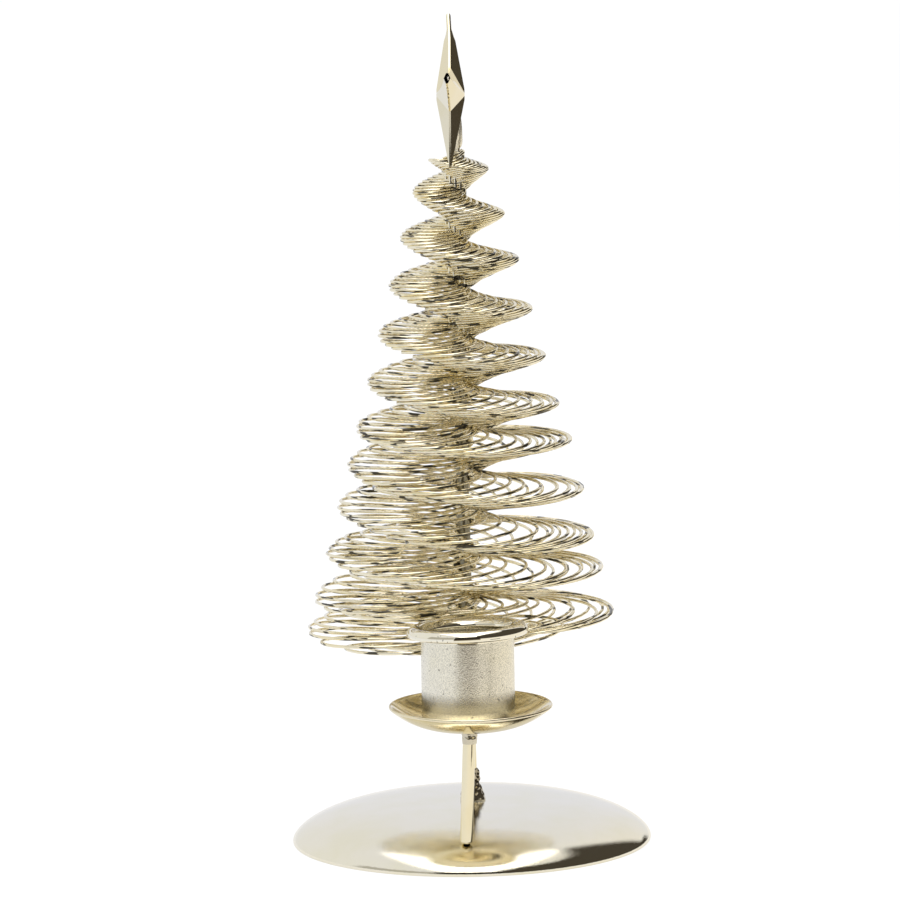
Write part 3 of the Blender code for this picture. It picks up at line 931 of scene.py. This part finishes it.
def make_object():
    finishes = make_materials()
    finish_piece(make_dome(), finishes["satin_plate"], "satin_plate", "base_dome")
    finish_piece(make_stem(), finishes["stem_plate_painted_shade"], "bright_plate", "tree_stem")
    finish_piece(make_foot_braze(), finishes["braze"], "braze", "stem_foot_braze")
    finish_piece(make_post(), finishes["bright_plate"], "bright_plate", "cup_post")
    finish_piece(make_pan_braze(), finishes["braze"], "braze", "pan_braze")
    finish_piece(make_pan(), finishes["pan_plate"], "pan_plate", "drip_pan")
    finish_piece(make_cup(), finishes["cup_plate"], "cup_plate", "candle_cup")
    finish_piece(make_tree(), finishes["wire_plate"], "wire_plate", "wire_tree")
    for shell, node in zip(make_star(), ("star_left_shell", "star_right_shell")):
        finish_piece(shell, finishes["star_plate"], "star_plate", node)
    for drop in make_solder():
        finish_piece(drop, finishes["solder"], "braze")


def floor_material():
    """White to the camera and dimmer in reflections, cooler on its left and warmer on its right."""
    material, s, surface = new_material("floor")
    paper = s.node("ShaderNodeBsdfDiffuse")
    paper.inputs["Color"].default_value = (0.25, 0.25, 0.25, 1.0)
    side = s.map_range(s.part(s.place(), "X"), -0.25, 0.25, 0.0, 1.0)
    tinted = s.ramp(side, [(0.0, (0.86, 0.90, 1.0)), (0.5, (0.97, 0.95, 0.93)),
                           (1.0, (1.0, 0.95, 0.86))])
    seen = s.glow("ShaderNodeEmission", 0.80, (1.0, 1.0, 1.0))
    mirrored = s.glow("ShaderNodeEmission", 0.68, tinted)
    both = s.node("ShaderNodeAddShader")
    s.link(paper.outputs[0], both.inputs[0])
    s.link(s.by_ray("Is Glossy Ray", seen, mirrored), both.inputs[1])
    s.link(both.outputs[0], surface)
    return material


def make_floor():
    """Large pale floor that keeps the object's shadow."""
    shape = bmesh.new()
    bmesh.ops.create_circle(shape, cap_ends=True, segments=96, radius=FLOOR_RADIUS)
    obj = add_shape("floor", shape)
    obj.data.materials.append(floor_material())


def make_world():
    """White room that is coolest in the middle, and warmer on the right."""
    world = bpy.data.worlds.new("studio")
    bpy.context.scene.world = world
    world.use_nodes = True
    s = Shader(world.node_tree)
    output = s.node("ShaderNodeOutputWorld")
    side = s.map_range(s.part(s.place("Generated"), "X"), -1.0, 1.0, 0.0, 1.0)
    wall = s.ramp(side, [(0.0, (0.84, 0.85, 0.86)), (0.35, (0.82, 0.83, 0.88)),
                         (0.55, (0.80, 0.82, 0.91)), (1.0, (0.90, 0.87, 0.80))])
    room = s.glow("ShaderNodeBackground", 1.0, wall)
    white = s.glow("ShaderNodeBackground", 1.0, (1.0, 1.0, 1.0))
    s.link(s.by_ray("Is Camera Ray", room, white), output.inputs["Surface"])


def softbox(name, location, size_x, size_y, power):
    """Rectangular lamp that shines straight down."""
    data = bpy.data.lights.new(name, "AREA")
    data.shape = "RECTANGLE"
    data.size = size_x
    data.size_y = size_y
    data.energy = power
    add_object(name, data).location = location


def card(name, azimuths, outline, colour, strength):
    """Studio card seen only in reflections: an outline of (distance, height) swept round the object.

    An azimuth of 0 is towards the camera and 90 to the right.
    """
    shape = bmesh.new()
    grid = []
    for i in range(CARD_COLUMNS + 1):
        azimuth = math.radians(azimuths[0] + (azimuths[1] - azimuths[0]) * i / CARD_COLUMNS)
        right, back = math.sin(azimuth), -math.cos(azimuth)
        grid.append([shape.verts.new((distance * right, distance * back, height))
                     for distance, height in outline])
    for column, following in zip(grid, grid[1:]):
        for j in range(len(outline) - 1):
            shape.faces.new((column[j], following[j], following[j + 1], column[j + 1]))
    obj = add_shape(name, shape)
    material, s, surface = new_material(name)
    s.link(s.glow("ShaderNodeEmission", strength, colour), surface)
    obj.data.materials.append(material)
    obj.visible_camera = False
    obj.visible_diffuse = False
    obj.visible_shadow = False


def make_lights():
    softbox("overhead_softbox", (0.0, -0.85, 1.1), 0.95, 2.7, 11.5)
    dark = (0.9, 0.78, 0.62)
    pale = (0.95, 0.93, 0.88)
    card("right_flag", (18, 141), [(1.2, 0.0), (1.2, 1.0), (0.9, 1.35)], dark, 0.07)
    card("right_back_flag", (141, 152), [(1.2, 0.0), (1.2, 0.22)], dark, 0.05)
    card("front_table", (-24, 22), [(0.29, 0.0005), (0.5, 0.0005)], dark, 0.42)
    card("right_table", (36, 54), [(0.15, 0.0005), (0.22, 0.0005)], dark, 0.1)
    card("front_flag", (-24, 22), [(0.5, 0.0005), (0.6, 0.40)], dark, 0.04)
    card("left_shade", (-80, -26), [(1.1, 0.1), (1.1, 0.7)], pale, 0.5)


def make_camera():
    data = bpy.data.cameras.new("camera")
    data.lens = CAMERA_LENS
    data.sensor_width = 36.0
    data.clip_end = 100.0
    obj = add_object("camera", data)
    back = Vector((math.sin(CAMERA_AZIMUTH) * math.cos(CAMERA_ELEVATION),
                   -math.cos(CAMERA_AZIMUTH) * math.cos(CAMERA_ELEVATION),
                   math.sin(CAMERA_ELEVATION)))
    obj.location = CAMERA_TARGET + back * CAMERA_DISTANCE
    look = (-back).to_track_quat("-Z", "Y").to_matrix()
    obj.rotation_euler = (look @ Matrix.Rotation(-CAMERA_ROLL, 3, "Z")).to_euler()
    bpy.context.scene.camera = obj


make_object()
make_floor()
make_world()
make_lights()
make_camera()
bpy.context.scene.view_settings.view_transform = "Standard"
